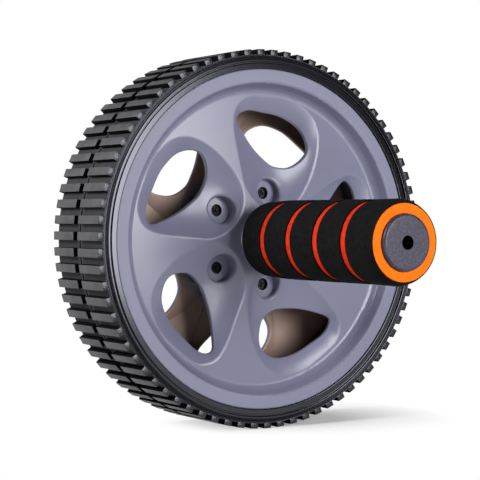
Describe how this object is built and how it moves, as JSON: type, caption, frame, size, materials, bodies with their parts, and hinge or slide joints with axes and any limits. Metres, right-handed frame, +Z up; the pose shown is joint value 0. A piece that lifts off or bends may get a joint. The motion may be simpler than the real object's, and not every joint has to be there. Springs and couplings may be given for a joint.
{
  "type": "ab wheel roller",
  "caption": "Exercise roller: a spoked plastic wheel with treaded rubber tyres that spins freely on an axle between two foam hand grips.",
  "frame": {"origin": "centre of the wheel, midway along the axle", "axes": "+Y along the axle to the far grip, +Z up from the floor to the wheel's top, the pictured side faces -Y"},
  "size_m": [0.19, 0.2752, 0.19],
  "materials": {
    "wheel_plastic": "satin lilac-grey moulded plastic",
    "tyre_rubber": "black rubber, glossy sidewall and matt tread",
    "plated_steel": "zinc-plated steel",
    "bush_plastic": "natural acetal",
    "core_plastic": "black moulded plastic",
    "cap_plastic": "dark grey plastic with a fine metallic fleck",
    "orange_foam": "smooth orange foam",
    "black_foam": "matt black foam"
  },
  "bodies": {
    "handles": {"axle": "plated_steel", "near_washer": "plated_steel", "far_washer": "plated_steel", "near_handle_core": "core_plastic", "far_handle_core": "core_plastic", "near_end_cap": "cap_plastic", "far_end_cap": "cap_plastic", "near_grip_sleeve": "orange_foam", "far_grip_sleeve": "orange_foam", "near_grip_band_1": "black_foam", "near_grip_band_2": "black_foam", "near_grip_band_3": "black_foam", "near_grip_band_4": "black_foam", "near_grip_band_5": "black_foam", "far_grip_band_1": "black_foam", "far_grip_band_2": "black_foam", "far_grip_band_3": "black_foam", "far_grip_band_4": "black_foam", "far_grip_band_5": "black_foam"},
    "wheel": {"near_wheel_half": "wheel_plastic", "far_wheel_half": "wheel_plastic", "near_tyre": "tyre_rubber", "far_tyre": "tyre_rubber", "wheel_screws": "plated_steel", "near_hub_bush": "bush_plastic", "far_hub_bush": "bush_plastic"}
  },
  "joints": [
    {"name": "wheel_spin", "type": "hinge", "parent": "handles", "child": "wheel", "pos_m": [0, 0, 0], "axis": [0, 1, 0], "continuous": true}
  ]
}
